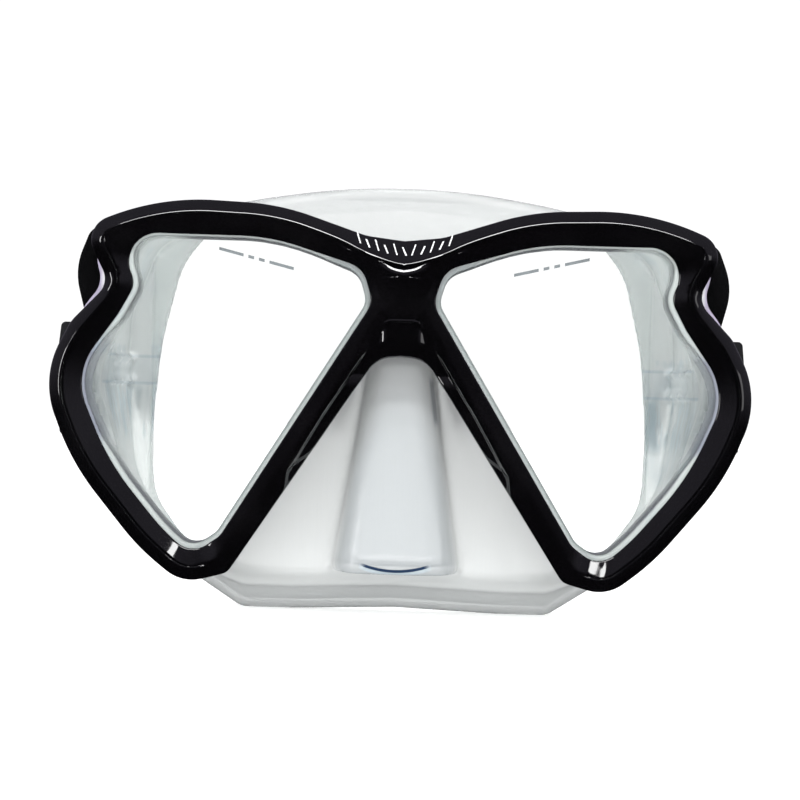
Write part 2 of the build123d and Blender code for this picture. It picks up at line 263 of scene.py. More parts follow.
class NodeBook:
    """The node tree of one material or world, with short ways to add nodes."""

    def __init__(self, owner: bpy.types.Material | bpy.types.World) -> None:
        """Start an empty node tree on the owner."""
        self.owner = owner
        owner.use_nodes = True
        self.tree = owner.node_tree
        self.tree.nodes.clear()

    @classmethod
    def for_material(cls, name: str) -> "NodeBook":
        """Start an empty material of that name."""
        return cls(bpy.data.materials.new(name))

    def node(self, kind: str, settings: dict | None = None, inputs: dict | None = None,
             output: int | str = 0) -> Wire:
        """Add a node.

        Args:
            kind: the node's type name.
            settings: its properties, which are set first.
            inputs: socket values or wires, by socket name or number.
            output: the output socket to return.

        Returns:
            The wire of that output.
        """
        made = self.tree.nodes.new(kind)
        for key, value in (settings or {}).items():
            if key == "stops":
                self._set_stops(made, value)
            else:
                setattr(made, key, value)
        for key, value in (inputs or {}).items():
            socket = made.inputs[key]
            if isinstance(value, Wire):
                self.tree.links.new(value.socket, socket)
            else:
                socket.default_value = value
        return Wire(self, made.outputs[output])

    @staticmethod
    def _set_stops(ramp: bpy.types.Node, stops: list) -> None:
        """Give a colour ramp its (position, colour) stops."""
        elements = ramp.color_ramp.elements
        while len(elements) < len(stops):
            elements.new(0.5)
        for element, (position, colour) in zip(elements, stops):
            element.position = position
            element.color = colour

    def place(self) -> Wire:
        """Return the object-space position in metres."""
        return self.node("ShaderNodeTexCoord", output="Object")

    def axes(self, place: Wire) -> tuple[Wire, Wire, Wire]:
        """Split a vector into its three parts."""
        made = self.tree.nodes.new("ShaderNodeSeparateXYZ")
        self.tree.links.new(place.socket, made.inputs[0])
        return tuple(Wire(self, made.outputs[index]) for index in range(3))

    def noise(self, place: Wire, scale: float, detail: float = 3.0, roughness: float = 0.5) -> Wire:
        """Return fractal noise of about 0 to 1; scale is in waves per metre."""
        return self.node("ShaderNodeTexNoise", {}, {"Vector": place, "Scale": scale, "Detail": detail,
                                                    "Roughness": roughness})

    def stretched(self, place: Wire, scale: tuple[float, float, float]) -> Wire:
        """Return a position scaled along its axes."""
        return self.node("ShaderNodeMapping", {}, {"Vector": place, "Scale": scale})

    def blend(self, share: Wire | float, first: object, second: object) -> Wire:
        """Mix two colours."""
        made = self.tree.nodes.new("ShaderNodeMix")
        made.data_type = "RGBA"
        for socket, value in ((made.inputs[0], share), (made.inputs[6], first), (made.inputs[7], second)):
            if isinstance(value, Wire):
                self.tree.links.new(value.socket, socket)
            else:
                socket.default_value = value
        return Wire(self, made.outputs[2])

    def bump(self, height: Wire, strength: float, distance: float) -> Wire:
        """Return a normal disturbed by a height."""
        return self.node("ShaderNodeBump", {}, {"Height": height, "Strength": strength, "Distance": distance})

    def finish(self, shader: Wire,
               kind: str = "ShaderNodeOutputMaterial") -> bpy.types.Material | bpy.types.World:
        """Connect a shader to the output node and return the owner."""
        end = self.tree.nodes.new(kind)
        self.tree.links.new(shader.socket, end.inputs["Surface"])
        return self.owner


def rgba(red: float, green: float, blue: float) -> tuple[float, float, float, float]:
    """Return an opaque colour."""
    return (red, green, blue, 1.0)


@dataclass(frozen=True)
class MouldedPlastic:
    """Injection-moulded plastic, from polished to as-moulded.

    Args:
        name: the material's name.
        colour: its base colour.
        gloss_roughness: roughness of the cleanest areas.
        grain_scale: waves per metre of the surface grain.
        grain_depth: depth of the grain in metres.
        coat: weight of the polished top layer.
    """

    name: str
    colour: tuple[float, float, float]
    gloss_roughness: float
    grain_scale: float
    grain_depth: float
    coat: float

    def material(self) -> bpy.types.Material:
        """Build the material."""
        book = NodeBook.for_material(self.name)
        place = book.place()
        handling = book.noise(place, 55.0, 4.0)
        grain = book.noise(place, self.grain_scale, 2.0)
        flow = book.noise(book.stretched(place, (1.0, 1.0, 3.0)), 90.0, 3.0)
        dull = tuple(min(1.0, part * 1.5 + 0.0006) for part in self.colour)
        colour = book.blend(handling.ramp(0.45, 0.75), rgba(*self.colour), rgba(*dull))
        roughness = self.gloss_roughness + handling.ramp(0.4, 0.8) * 0.05 + flow * 0.02
        normal = book.bump(grain, 0.25, self.grain_depth)
        shader = book.node("ShaderNodeBsdfPrincipled", {}, {
            "Base Color": colour, "Roughness": roughness, "Coat Weight": self.coat, "Coat Roughness": 0.03,
            "IOR": 1.5, "Normal": normal})
        return book.finish(shader)


@dataclass(frozen=True)
class ClearSilicone:
    """Clear liquid silicone rubber: see-through, with a milky body that shows in steep and thick places.

    Args:
        name: the material's name.
        milky: colour of the body where it is clean.
        smoky: colour of the body where it is marbled, and of the painted refraction streaks, specks and
            lines.
        deep: colour where the moulding is thickest.
        plate: colour of the body round the nose pocket and over the brow.
        nose: colour of the nose pocket.
        shade: colour of the painted shade where the buckle darkens the wall.
        ink: colour of the darkest painted refractions, on the nose arc and the pocket's edge line.
        veil: share of the body seen straight on through one surface.
        clear_share: share of sharp refraction.
    """

    name: str
    milky: tuple[float, float, float]
    smoky: tuple[float, float, float]
    deep: tuple[float, float, float]
    plate: tuple[float, float, float]
    nose: tuple[float, float, float]
    shade: tuple[float, float, float]
    ink: tuple[float, float, float]
    veil: float
    clear_share: float

    def material(self) -> bpy.types.Material:
        """Build the material."""
        book = NodeBook.for_material(self.name)
        place = book.place()
        across, depth, height = book.axes(place)
        side = across.absolute()
        up = height - CENTRE_HEIGHT * MM
        cloud = book.noise(book.stretched(place, (1.3, 0.5, 0.6)), 75.0, 4.0, 0.6)
        streak = book.noise(book.stretched(place, (4.0, 2.0, 0.35)), 110.0, 3.0, 0.6)
        skin = book.noise(place, 420.0, 2.0)
        steep = book.node("ShaderNodeLayerWeight", {}, {"Blend": 0.35}, "Facing")
        outer = side.ramp(0.045, 0.062)
        edge_line = side * 0.848 + up * 0.531
        thick = (1 - depth.ramp(-0.0285, -0.0215)) * edge_line.ramp(0.0125, 0.0145)
        along_vee = 1 - edge_line.ramp(0.0195, 0.0225)
        plate = (1 - depth.ramp(-0.0188, -0.0165)) * (1 - edge_line.ramp(0.0125, 0.0145))
        marbled = cloud.ramp(0.50, 0.70) * outer * 0.45
        wall = side.ramp(0.058, 0.061)
        # Painted shade: a darker band on the side wall by the waist of the frame.
        shaded = wall * (1 - depth.ramp(-0.016, -0.010))
        shaded = shaded * (1 - (up - 0.0005).absolute().ramp(0.010, 0.014))
        # Painted refraction: soft dark streaks low on the side wall.
        low_band = 1 - (up + 0.005).absolute().ramp(0.005, 0.009)
        refraction_streaks = streak.ramp(0.50, 0.57) * wall * depth.ramp(-0.009, -0.004) * low_band
        # Painted refraction: dark lines along the side rib's edges and a tint over the rib.
        rib_edge_refraction = 1 - ((up - 0.006).absolute() - 0.0036).absolute().ramp(0.0002, 0.0006)
        rib = (rib_edge_refraction * 0.45 + (1 - (up - 0.006).absolute().ramp(0.0034, 0.0038)) * 0.2) * wall
        rib = rib * depth.ramp(-0.010, -0.007)
        # Painted refraction: a dark slanting line at the nose pocket's right edge.
        edge_refraction_gap = (across - 0.00835 + up * 0.147).absolute() + streak * 0.0004
        edge_refraction_reach = 1 - (up + 0.0002).absolute().ramp(0.004, 0.0075)
        edge_refraction_line = (1 - edge_refraction_gap.ramp(0.0004, 0.0011)) * edge_refraction_reach * plate
        # Painted refraction: faint specks in a band high on the side wall.
        refraction_speck_band = 1 - (up - 0.0112).absolute().ramp(0.0008, 0.002)
        refraction_specks = cloud.ramp(0.50, 0.56) * side.ramp(0.063, 0.065) * refraction_speck_band
        # Painted refraction: a dark arc and a paler band under it at the foot of the nose pocket.
        arc = (up + 0.0420 - side * side * 21.0).absolute()
        ahead = 1 - depth.ramp(-0.0364, -0.0358)
        arc_refraction_line = (1 - arc.ramp(0.00028, 0.0005)) * (1 - side.ramp(0.0095, 0.0112)) * ahead
        below = (up + 0.0427 - side * side * 21.0).absolute()
        arc_refraction_band = (1 - below.ramp(0.0003, 0.0009)) * (1 - side.ramp(0.0085, 0.0115)) * ahead
        pocket = (1 - depth.ramp(-0.031, -0.024)) * (1 - side.ramp(0.017, 0.019))
        colour = book.blend(outer, rgba(*self.plate), rgba(*self.milky))
        colour = book.blend(marbled, colour, rgba(*self.smoky))
        colour = book.blend(pocket, colour, rgba(*self.nose))
        # The painted refractions and the painted shade go into the colour in the next lines.
        colour = book.blend(arc_refraction_band * 0.8 + rib, colour, rgba(*self.smoky))
        colour = book.blend(thick * (along_vee * 0.35 + 0.6), colour, rgba(*self.deep))
        colour = book.blend((steep ** 5) * 0.45, colour, rgba(*self.deep))
        colour = book.blend(shaded * 0.7, colour, rgba(*self.shade))
        colour = book.blend(refraction_streaks * 0.6 + refraction_specks * 0.3, colour, rgba(*self.smoky))
        colour = book.blend(arc_refraction_line + edge_refraction_line * 0.6, colour, rgba(*self.ink))
        normal = book.bump(streak * 0.6 + skin * 0.06, 0.3, 0.0004)
        body = book.node("ShaderNodeBsdfPrincipled", {}, {
            "Base Color": colour, "Roughness": skin * 0.1 + 0.16, "IOR": 1.41, "Normal": normal})
        sharp = book.node("ShaderNodeBsdfPrincipled", {}, {
            "Base Color": rgba(0.95, 0.975, 0.98), "Roughness": skin * 0.04 + 0.03, "IOR": 1.41,
            "Transmission Weight": 1.0, "Normal": normal})
        through = book.node("ShaderNodeBsdfTransparent", {}, {"Color": rgba(0.985, 0.992, 0.99)})
        # The painted shade and refractions also make the body less see-through.
        share = self.veil + plate * 0.25 + steep * 0.4 + thick * 0.4 + marbled * 0.2 + shaded * 0.3
        share = share + refraction_streaks * 0.3 + arc_refraction_line + edge_refraction_line * 0.3
        soft = book.node("ShaderNodeMixShader", {}, {0: share, 1: through, 2: body})
        sharpness = self.clear_share - arc_refraction_line * self.clear_share
        mixed = book.node("ShaderNodeMixShader", {}, {0: sharpness, 1: soft, 2: sharp})
        return book.finish(mixed)


@dataclass(frozen=True)
class PaleBead:
    """Pale lavender-grey rubber of a bead, with a painted highlight in white along its part next to the
    frame.

    Args:
        name: the material's name.
        shade: colour of its outer part.
        light: colour of the painted highlight next to the frame.
    """

    name: str
    shade: tuple[float, float, float]
    light: tuple[float, float, float]

    def material(self) -> bpy.types.Material:
        """Build the material."""
        book = NodeBook.for_material(self.name)
        place = book.place()
        across, _, _ = book.axes(place)
        cloud = book.noise(place, 160.0, 3.0)
        # Painted highlight: white towards the frame's edge, lavender grey further out.
        share = 1 - (across.absolute() + cloud * 0.0004).ramp(0.0738, 0.0752)
        colour = book.blend(share, rgba(*self.shade), rgba(*self.light))
        shader = book.node("ShaderNodeBsdfPrincipled", {}, {
            "Base Color": colour, "Roughness": cloud * 0.2 + 0.25, "Normal": book.bump(cloud, 0.2, 0.0002)})
        return book.finish(shader)


@dataclass(frozen=True)
class LensGlass:
    """Clear tempered glass with a light reflex on its faces and a faint green tint in the light that passes.

    Args:
        name: the material's name.
        tint: colour of the light that passes.
        mirror: share of light that the faces send back, seen straight on.
    """

    name: str
    tint: tuple[float, float, float]
    mirror: float

    def material(self) -> bpy.types.Material:
        """Build the material."""
        book = NodeBook.for_material(self.name)
        place = book.place()
        smear = book.noise(book.stretched(place, (1.0, 1.0, 0.4)), 45.0, 4.0)
        through = book.node("ShaderNodeBsdfTransparent", {}, {"Color": rgba(*self.tint)})
        reflex = book.node("ShaderNodeBsdfPrincipled", {}, {
            "Base Color": rgba(0.9, 0.95, 0.92), "Metallic": 1.0,
            "Roughness": smear.ramp(0.4, 0.9) * 0.03 + 0.012})
        grazing = book.node("ShaderNodeFresnel", {}, {"IOR": 1.35})
        share = grazing * 0.8 + self.mirror
        mixed = book.node("ShaderNodeMixShader", {}, {0: share, 1: through, 2: reflex})
        return book.finish(mixed)


@dataclass(frozen=True)
class TurnedSteel:
    """Stainless steel with fine turning marks.

    Args:
        name: the material's name.
        colour: its base colour.
        roughness: roughness between the marks.
    """

    name: str
    colour: tuple[float, float, float]
    roughness: float

    def material(self) -> bpy.types.Material:
        """Build the material."""
        book = NodeBook.for_material(self.name)
        place = book.place()
        marks = book.noise(book.stretched(place, (0.3, 6.0, 6.0)), 900.0, 2.0)
        stain = book.noise(place, 240.0, 3.0)
        shade = tuple(part * 0.72 for part in self.colour)
        colour = book.blend(stain.ramp(0.4, 0.75), rgba(*self.colour), rgba(*shade))
        shader = book.node("ShaderNodeBsdfPrincipled", {}, {
            "Base Color": colour, "Metallic": 1.0, "Roughness": marks * 0.16 + self.roughness,
            "Normal": book.bump(marks, 0.2, 0.00004)})
        return book.finish(shader)


@dataclass(frozen=True)
class PrintedInk:
    """Pad-printed ink with slightly uneven cover.

    Args:
        name: the material's name.
        colour: its base colour.
    """

    name: str
    colour: tuple[float, float, float]

    def material(self) -> bpy.types.Material:
        """Build the material."""
        book = NodeBook.for_material(self.name)
        place = book.place()
        patch = book.noise(place, 900.0, 2.0)
        thin = tuple(part * 0.86 for part in self.colour)
        colour = book.blend(patch.ramp(0.45, 0.7), rgba(*self.colour), rgba(*thin))
        shader = book.node("ShaderNodeBsdfPrincipled", {}, {
            "Base Color": colour, "Roughness": patch * 0.2 + 0.35, "Normal": book.bump(patch, 0.2, 0.00002)})
        return book.finish(shader)


GLOSS_BLACK = MouldedPlastic("gloss_black", (0.0012, 0.0011, 0.0014), 0.04, 700.0, 0.000006, 0.5)
SATIN_BLACK = MouldedPlastic("satin_black", (0.003, 0.003, 0.0034), 0.12, 1500.0, 0.00002, 0.2)
BUCKLE_BLACK = MouldedPlastic("buckle_black", (0.012, 0.012, 0.014), 0.30, 2600.0, 0.00006, 0.0)
BUTTON_GREY = MouldedPlastic("button_grey", (0.035, 0.036, 0.04), 0.27, 2200.0, 0.00005, 0.0)
ROLLER_GREY = MouldedPlastic("roller_grey", (0.05, 0.05, 0.056), 0.25, 2000.0, 0.00004, 0.0)
SILICONE = ClearSilicone("clear_silicone", (0.80, 0.84, 0.825), (0.44, 0.54, 0.60), (0.25, 0.285, 0.28),
                         (0.60, 0.615, 0.61), (0.42, 0.445, 0.455), (0.18, 0.19, 0.27), (0.015, 0.03, 0.065),
                         0.45, 0.2)
BEAD = PaleBead("pale_bead", (0.42, 0.38, 0.50), (0.95, 0.95, 0.97))
GLASS = LensGlass("lens_glass", (0.995, 1.0, 0.998), 0.004)
STEEL = TurnedSteel("turned_steel", (0.62, 0.63, 0.65), 0.2)
WHITE_INK = PrintedInk("white_ink", (0.82, 0.83, 0.84))
GREY_INK = PrintedInk("grey_ink", (0.16, 0.18, 0.19))


# ------------------------------------------------------------------ mesh building
def make_piece(name: str, spots: np.ndarray, faces: list, material: bpy.types.Material,
               smooth_angle: float = 40.0) -> bpy.types.Object:
    """Make a piece from points in millimetres round the drawing centre.

    Args:
        name: the piece's name.
        spots: its points, one row each.
        faces: its faces as lists of point numbers.
        material: its finish.
        smooth_angle: edges sharper than this, in degrees, stay sharp.

    Returns:
        The new object, linked to the scene.
    """
    metres = (np.asarray(spots, float) + np.array([0.0, 0.0, CENTRE_HEIGHT])) * MM
    mesh = bpy.data.meshes.new(name)
    mesh.from_pydata(metres.tolist(), [], faces)
    return dress_mesh(name, mesh, material, smooth_angle)


def dress_mesh(name: str, mesh: bpy.types.Mesh, material: bpy.types.Material,
               smooth_angle: float = 40.0) -> bpy.types.Object:
    """Weld a mesh, turn its faces outward, smooth it and link it as an object of that name."""
    shape = bmesh.new()
    shape.from_mesh(mesh)
    bmesh.ops.remove_doubles(shape, verts=shape.verts, dist=0.000002)
    bmesh.ops.dissolve_degenerate(shape, edges=shape.edges, dist=0.000001)
    bmesh.ops.recalc_face_normals(shape, faces=shape.faces)
    shape.to_mesh(mesh)
    shape.free()
    mesh.materials.append(material)
    mesh.shade_smooth()
    mesh.set_sharp_from_angle(angle=math.radians(smooth_angle))
    piece = bpy.data.objects.new(name, mesh)
    bpy.context.scene.collection.objects.link(piece)
    return piece


def seat(piece: bpy.types.Object, body: str, slot: Slot, *nodes: str) -> None:
    """Ride a piece on its body and hide the nodes that it stands for."""
    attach(piece, body)
    if nodes:
        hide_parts(*nodes)
    LOG.info("%s rides on %s", piece.name, body)


def along(path: np.ndarray, spot: tuple[float, float]) -> float:
    """Return how far along a closed path its nearest point to the spot lies, as a share of the length."""
    return float(np.argmin(((path - np.array(spot)) ** 2).sum(axis=1))) / len(path)


def at_share(path: np.ndarray, share: np.ndarray) -> np.ndarray:
    """Return the points of a closed path at shares of its number of points."""
    place = np.mod(share, 1.0) * len(path)
    low = np.floor(place).astype(int) % len(path)
    part = (place - np.floor(place))[:, None]
    return path[low] * (1 - part) + path[(low + 1) % len(path)] * part


@dataclass
class RimPlate:
    """Half of a spectacle-shaped plate as a grid between its lens opening and its outside.

    Args:
        outer: the half outline from the top of the middle line round to its bottom.
        opening: the closed outline of the lens opening.
        keys: pairs of (opening point, outside point) that face each other, clockwise from the top middle.
        column_step: distance between grid columns on the outside.
        middle_step: distance between grid columns on the middle line.
    """

    outer: np.ndarray
    opening: np.ndarray
    keys: list
    column_step: float = 0.7
    middle_step: float = 0.35
    inside: np.ndarray = field(init=False)
    outside: np.ndarray = field(init=False)
    on_middle: np.ndarray = field(init=False)

    def __post_init__(self) -> None:
        """Work out the two ends of every grid column."""
        top, bottom = self.outer[0], self.outer[-1]
        rise = np.linspace(0, 1, int(np.linalg.norm(top - bottom) / 0.6) + 1)[1:-1, None]
        loop = np.vstack([self.outer, bottom + (top - bottom) * rise])
        shares = [(along(self.opening, start), along(loop, end)) for start, end in self.keys]
        inside: list = []
        outside: list = []
        for (in_here, out_here), (in_there, out_there) in zip(shares, shares[1:] + shares[:1]):
            in_run = (in_there - in_here) % 1.0
            out_run = (out_there - out_here) % 1.0
            step = self.middle_step if out_there < out_here else self.column_step
            columns = max(2, int(out_run * len(loop) * 0.6 / step))
            parts = np.arange(columns) / columns
            inside.append(at_share(self.opening, in_here + in_run * parts))
            outside.append(at_share(loop, out_here + out_run * parts))
        self.inside = np.vstack(inside)
        self.outside = np.vstack(outside)
        self.outside[self.outside[:, 0] < 0.02, 0] = 0.0
        self.on_middle = self.outside[:, 0] == 0.0

    def rows(self, near: list, far: list, stretch: Callable, samples: int = 110) -> np.ndarray:
        """Return rows of spots that keep constant distances from the outside and from the opening.

        Args:
            near: distances from the outside for the first rows.
            far: distances from the opening for the last rows, falling.
            stretch: gives the factor on the near distances below the brow for places across.
            samples: number of trial spots along each column.

        Returns:
            An array of rows by columns by (across, up).
        """
        parts = np.linspace(0, 1, samples)
        span = self.inside - self.outside
        trial = self.outside[:, None] + span[:, None] * parts[None, :, None]
        flat = trial.reshape(-1, 2)
        out_gap = path_distance(flat, self.outer).reshape(-1, samples)
        below_brow = (self.outside[:, 1] > 30) & (self.outside[:, 0] < 74)
        out_gap[below_brow] /= stretch(trial[below_brow, :, 0])
        out_gap = np.maximum.accumulate(out_gap, axis=1)
        in_gap = path_distance(flat, self.opening, closed=True).reshape(-1, samples)
        in_gap = np.maximum.accumulate(in_gap[:, ::-1], axis=1)
        plain = self.on_middle & (self.outside[:, 1] > 15) & (self.outside[:, 1] < 30)
        shares = np.zeros((len(near) + len(far), len(span)))
        for column in range(len(span)):
            if plain[column]:
                shares[:, column] = np.linspace(0, 1, len(shares))
                continue
            first = np.interp(near, out_gap[column], parts)
            last = 1 - np.interp(far, in_gap[column], parts)
            shares[:len(near), column] = np.minimum(first, last[0])
            shares[len(near):, column] = last
        shares[0] = 0
        return self.outside[None] + span[None] * shares[:, :, None]


def weave(rows: list, closed_rows: bool, skip: np.ndarray, skip_rows: set) -> tuple:
    """Join rows of points into a mesh that is closed along each row.

    Args:
        rows: arrays of points, all of the same length.
        closed_rows: whether the last row joins the first.
        skip: marks columns where the faces of skip_rows are left out.
        skip_rows: numbers of the row gaps that are left out there.

    Returns:
        The points and the faces.
    """
    count = len(rows[0])
    faces = []
    gaps = len(rows) if closed_rows else len(rows) - 1
    for row in range(gaps):
        after = (row + 1) % len(rows)
        for column in range(count):
            ahead = (column + 1) % count
            if row in skip_rows and skip[column] and skip[ahead]:
                continue
            faces.append((row * count + column, row * count + ahead,
                          after * count + ahead, after * count + column))
    return np.vstack(rows), faces


def add_mirror(spots: np.ndarray, faces: list) -> tuple:
    """Return a half mesh together with its mirror image across the middle plane."""
    other = spots * np.array([-1.0, 1.0, 1.0])
    flipped = [tuple(index + len(spots) for index in reversed(face)) for face in faces]
    return np.vstack([spots, other]), faces + flipped


RIM_KEYS = [
    ((10.5, 32.5), (0, 39)), ((33, 38.6), (31, 46.5)), ((60, 38.6), (60, 47.4)), ((67, 36), (76.8, 40)),
    ((66.2, 27), (73.2, 26.5)), ((69, 20), (78, 20)), ((77.5, 4), (86, 3)), ((71, -17), (79.5, -17.5)),
    ((58, -32.5), (63.5, -37.5)), ((50, -38), (52, -45.5)), ((44.5, -35.3), (41.5, -42.5)),
    ((14, 13), (8.2, 8)), ((8.2, 25), (0, 10.5)),
]


@dataclass
class FrontFrame:
    """The gloss black front frame: a bevelled brow, rounded sides and a funnel round each lens.

    Args:
        depth: thickness of the frame from front to back.
        lip_depth: how far the lens lies behind the front.
        rim_radius: width of the rounded outer rim.
        brow_width: width of the brow's upper bevel away from the middle.
        brow_flare: how much wider that bevel is at the middle.
        brow_drop: how far that bevel falls back.
        vee_width: width of the chamfer along the nose opening.
        funnel_width: width of the slope round the lens.
        funnel_depth: depth of that slope at the sides.
    """

    depth: float = (FRONT_BOX[1][1] - FRONT_BOX[0][1]) / MM
    lip_depth: float = 3.95
    rim_radius: float = 3.1
    brow_width: float = 2.9
    brow_flare: float = 3.2
    brow_drop: float = 2.4
    vee_width: float = 3.6
    funnel_width: float = 5.2
    funnel_depth: float = 2.2

    def crest(self, across: np.ndarray) -> np.ndarray:
        """Return the brow bevel's width at each place across the mask."""
        return self.brow_width + self.brow_flare * np.exp(-(across / 10.0) ** 2)

    def stretch(self, across: np.ndarray) -> np.ndarray:
        """Return how much wider the brow's bevel is at each place than away from the middle."""
        return self.crest(across) / self.brow_width

    def relief(self, spots: np.ndarray) -> np.ndarray:
        """Return how far the front surface lies behind the frontmost plane at each spot."""
        flat = np.abs(spots[:, 0])[:, None] * np.array([[1.0, 0.0]]) + spots[:, 1:] * np.array([[0.0, 1.0]])
        whole = rounded_path(FRAME_BROW + FRAME_SIDE + FRAME_VEE, False)
        corner = int(np.argmin(((whole - np.array([76.9, 40.0])) ** 2).sum(axis=1)))
        foot = int(np.argmin(((whole - np.array([47.0, -44.6])) ** 2).sum(axis=1)))
        to_brow = path_distance(flat, whole[:corner + 1])
        to_side = path_distance(flat, whole[corner:foot + 1])
        to_vee = path_distance(flat, whole[foot:])
        to_lens = path_distance(flat, rounded_path(LENS_OPENING, True), closed=True)
        across = flat[:, 0]

        crest = self.crest(across)
        fade = 1 - smooth_step(across, 48.0, 70.0)
        centre = np.exp(-(across / 6.4) ** 4)
        past = to_brow - crest
        steepness = self.brow_drop / self.brow_width
        brow = -smooth_union(steepness * past, np.zeros(len(flat)), 0.35 + 0.5 * fade)
        brow += (0.25 + 0.45 * fade) * (1 - centre) * smooth_step(past, 0.1, 0.7)
        brow += 0.10 * fade * (1 - centre) * np.exp(-((past - 1.25) / 0.16) ** 2)
        brow += 1.1 * centre * smooth_step(past, 0.05, 0.45) * (1 - np.clip((past - 0.35) / 3.0, 0, 1)) ** 1.7

        share = np.clip(1 - to_side / self.rim_radius, 0, 1)
        side = 2.3 * share ** 1.5
        side += 0.30 * smooth_step(to_side, self.rim_radius - 0.1, self.rim_radius + 0.3)
        side += 0.20 * np.exp(-((to_side - self.rim_radius - 0.2) / 0.14) ** 2)

        vee = -smooth_union(0.55 * (to_vee - self.vee_width), np.zeros(len(flat)), 0.4)

        pulls = [np.exp(-gap / 1.0) + 1e-12 for gap in (to_brow, to_side, to_vee)]
        total = sum(pulls)
        surface = (brow * pulls[0] + side * pulls[1] + vee * pulls[2]) / total
        funnel = (0.35 * pulls[0] + self.funnel_depth * pulls[1] + 1.0 * pulls[2]) / total
        width = (2.0 * pulls[0] + self.funnel_width * pulls[1] + 4.0 * pulls[2]) / total
        surface += funnel * -smooth_union(to_lens / width - 1, np.zeros(len(flat)), 0.08)
        lip = np.clip(1 - to_lens / 0.3, 0, 1)
        surface += 0.3 * (1 - np.sqrt(np.clip(1 - lip ** 2, 0, 1)))
        edge = np.clip(1 - np.minimum(np.minimum(to_brow, to_side), to_vee) / 0.4, 0, 1)
        return surface + 0.4 * (1 - np.sqrt(np.clip(1 - edge ** 2, 0, 1)))

    def arch_dip(self, spots: np.ndarray) -> np.ndarray:
        """Return how far the nose arch area is sunk to take the trim piece."""
        ring = mirrored_ring(TRIM_TOP + [(30, -45, 0), (0, -45, 0)])
        inside = ring_field(spots, ring)
        return 1.1 * smooth_step(-inside, 0.1, 1.0)

    def build(self) -> None:
        """Build the front frame and seat it."""
        outer = rounded_path(FRAME_BROW + FRAME_SIDE + FRAME_VEE, False)
        opening = rounded_path(LENS_OPENING, True)
        plate = RimPlate(outer, opening, RIM_KEYS)
        near = [0.0, 0.05, 0.12, 0.22, 0.4, 0.65, 0.95, 1.3, 1.7, 2.1, 2.45, 2.7, 2.85, 2.95, 3.05, 3.15,
                3.25, 3.35, 3.45, 3.6, 3.8, 4.0, 4.2]
        far = [3.0, 2.4, 1.9, 1.5, 1.1, 0.8, 0.55, 0.36, 0.24, 0.15, 0.08, 0.03, 0.0]
        front_rows = []
        for row in plate.rows(near, far, self.stretch):
            depth = self.relief(row) + self.arch_dip(row)
            front_rows.append(np.column_stack([row[:, 0], FRAME_FRONT_Y + depth, row[:, 1]]))
        grown = self._grow(opening, plate.inside)
        rows = front_rows + [
            self._flat(plate.inside, self.lip_depth), self._flat(plate.inside + grown * 2.65, self.lip_depth),
            self._flat(plate.inside + grown * 2.65, self.depth), self._flat(plate.outside, self.depth)]
        spots, faces = weave(rows, True, plate.on_middle, {len(rows) - 1})
        piece = make_piece("front_frame_shell", *add_mirror(spots, faces), GLOSS_BLACK.material(), 30.0)
        seat(piece, Body.FRAME.value, Slot.FRAME_GLOSS, "front_frame")

    @staticmethod
    def _grow(opening: np.ndarray, spots: np.ndarray) -> np.ndarray:
        """Return the outward direction of the opening's edge at each spot on it."""
        tangent = np.roll(opening, -1, axis=0) - np.roll(opening, 1, axis=0)
        normal = np.column_stack([-tangent[:, 1], tangent[:, 0]])
        normal /= np.linalg.norm(normal, axis=1)[:, None]
        centre = opening.mean(axis=0)
        if ((opening - centre) * normal).sum() < 0:
            normal = -normal
        nearest = [int(np.argmin(((opening - spot) ** 2).sum(axis=1))) for spot in spots]
        return normal[nearest]

    @staticmethod
    def _flat(spots: np.ndarray, level: float) -> np.ndarray:
        """Put spots at one distance behind the frontmost plane."""
        return np.column_stack([spots[:, 0], np.full(len(spots), FRAME_FRONT_Y + level), spots[:, 1]])


